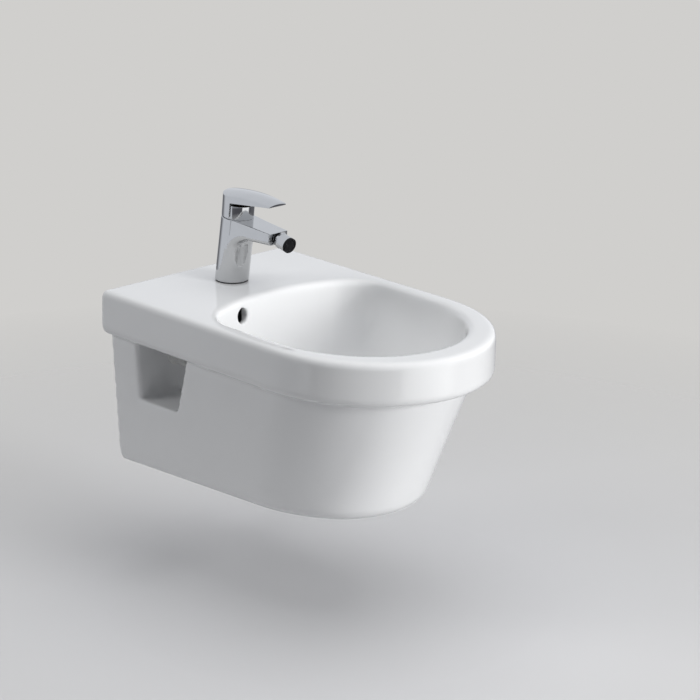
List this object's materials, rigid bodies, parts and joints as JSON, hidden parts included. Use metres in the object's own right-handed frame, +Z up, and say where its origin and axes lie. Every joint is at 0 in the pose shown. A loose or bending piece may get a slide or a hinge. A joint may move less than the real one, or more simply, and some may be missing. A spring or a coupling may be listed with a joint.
{
  "type": "wall-hung bidet",
  "caption": "Wall-hung china bidet with a rounded front, oval bowl, side recesses over the fixings, push-open waste and a chrome lever mixer with a ball-jointed nozzle.",
  "frame": {"origin": "midway between the two wall fixings, on the wall plane", "axes": "+Y into the wall, so the front faces -Y; +Z up; +X to the right for someone facing the wall"},
  "size_m": [0.37, 0.5599, 0.418],
  "materials": {
    "china_glaze": "gloss",
    "chrome_plate": "polished",
    "plain_brass": "machined",
    "zinc_steel": "plain",
    "black_rubber": "matte",
    "white_plastic": "gloss",
    "grey_plastic": "matte",
    "black_plastic": "matte",
    "disc_ceramic": "lapped"
  },
  "bodies": {
    "fixture": {"china_rim": "china_glaze", "china_skirt": "china_glaze", "tap_body": "chrome_plate", "base_gasket": "black_rubber", "clamp_gasket": "black_rubber", "clamp_plate": "zinc_steel", "clamp_stud": "zinc_steel", "clamp_nut": "plain_brass", "cartridge_housing": "grey_plastic", "cartridge_base": "grey_plastic", "fixed_disc": "disc_ceramic", "cartridge_nut": "plain_brass", "cover_sleeve": "chrome_plate", "socket_collar": "black_plastic", "waste_body": "chrome_plate", "waste_seal": "black_rubber", "waste_lower_seal": "black_rubber", "waste_nut": "plain_brass", "waste_tail": "chrome_plate", "click_cartridge": "grey_plastic", "fixing_sleeves": "white_plastic", "fixing_washers": "zinc_steel", "fixing_nuts": "zinc_steel", "fixing_caps": "white_plastic"},
    "rotor": {"cartridge_rotor": "grey_plastic", "pivot_pin": "zinc_steel"},
    "lever": {"lever_handle": "chrome_plate", "lever_spindle": "plain_brass", "handle_screw": "zinc_steel", "index_plug": "grey_plastic"},
    "disc": {"moving_disc": "disc_ceramic", "disc_carrier": "grey_plastic"},
    "seat": {"ball_seat": "black_plastic"},
    "nozzle": {"nozzle_ball": "chrome_plate", "nozzle_barrel": "chrome_plate", "nozzle_gasket": "black_rubber", "aerator_insert": "black_plastic"},
    "plug": {"plug_stem": "plain_brass", "plug_seal": "black_rubber", "plug_cap": "chrome_plate"}
  },
  "joints": [
    {"name": "lever_turn", "type": "hinge", "parent": "fixture", "child": "rotor", "pos_m": [0, -0.096, 0.2045], "axis": [0, -0.0785, 0.9969], "range_deg": [-45, 45]},
    {"name": "lever_lift", "type": "hinge", "parent": "rotor", "child": "lever", "pos_m": [0, -0.0949, 0.19054], "axis": [-1, 0, 0], "range_deg": [0, 20]},
    {"name": "disc_slide", "type": "slide", "parent": "rotor", "child": "disc", "axis": [0, -0.9969, -0.0785], "range_m": [0, 0.0042]},
    {"name": "seat_spin", "type": "hinge", "parent": "fixture", "child": "seat", "pos_m": [0, -0.178, 0.189], "axis": [0, -0.9781, -0.2079], "continuous": true},
    {"name": "nozzle_tilt", "type": "hinge", "parent": "seat", "child": "nozzle", "pos_m": [0, -0.178, 0.189], "axis": [1, 0, 0], "range_deg": [-12, 12]},
    {"name": "plug_press", "type": "slide", "parent": "fixture", "child": "plug", "axis": [0, 0, -1], "range_m": [0, 0.0078]}
  ],
  "couplings": [
    {"joint": "disc_slide", "follows": "lever_lift", "m_per_rad": 0.011758}
  ]
}
